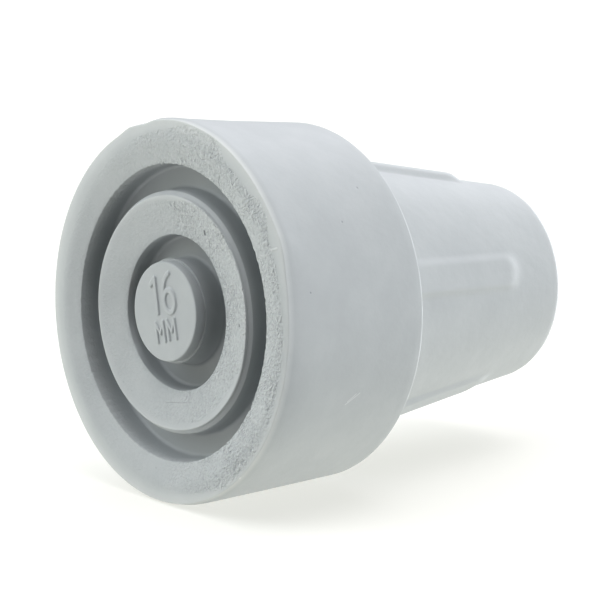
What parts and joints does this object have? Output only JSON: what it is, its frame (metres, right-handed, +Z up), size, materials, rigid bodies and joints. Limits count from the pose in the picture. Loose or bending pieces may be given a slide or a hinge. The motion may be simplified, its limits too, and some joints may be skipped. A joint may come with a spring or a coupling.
{
  "type": "rubber cane tip",
  "caption": "One-piece rubber foot that pushes over the end of a walking stick: ringed tread, wide foot and ribbed tapered sleeve with a blind socket.",
  "frame": {"origin": "centre of the tread, on the plane that the tip stands on", "axes": "+Z up the axis of the socket, out of its mouth; one of its five ribs faces -X"},
  "size_m": [0.0378, 0.0378, 0.0458],
  "materials": {
    "grey_rubber": "moulded, dull satin, with a rougher trimmed tread"
  },
  "bodies": {
    "root": {"cane_tip": "grey_rubber"}
  },
  "joints": []
}
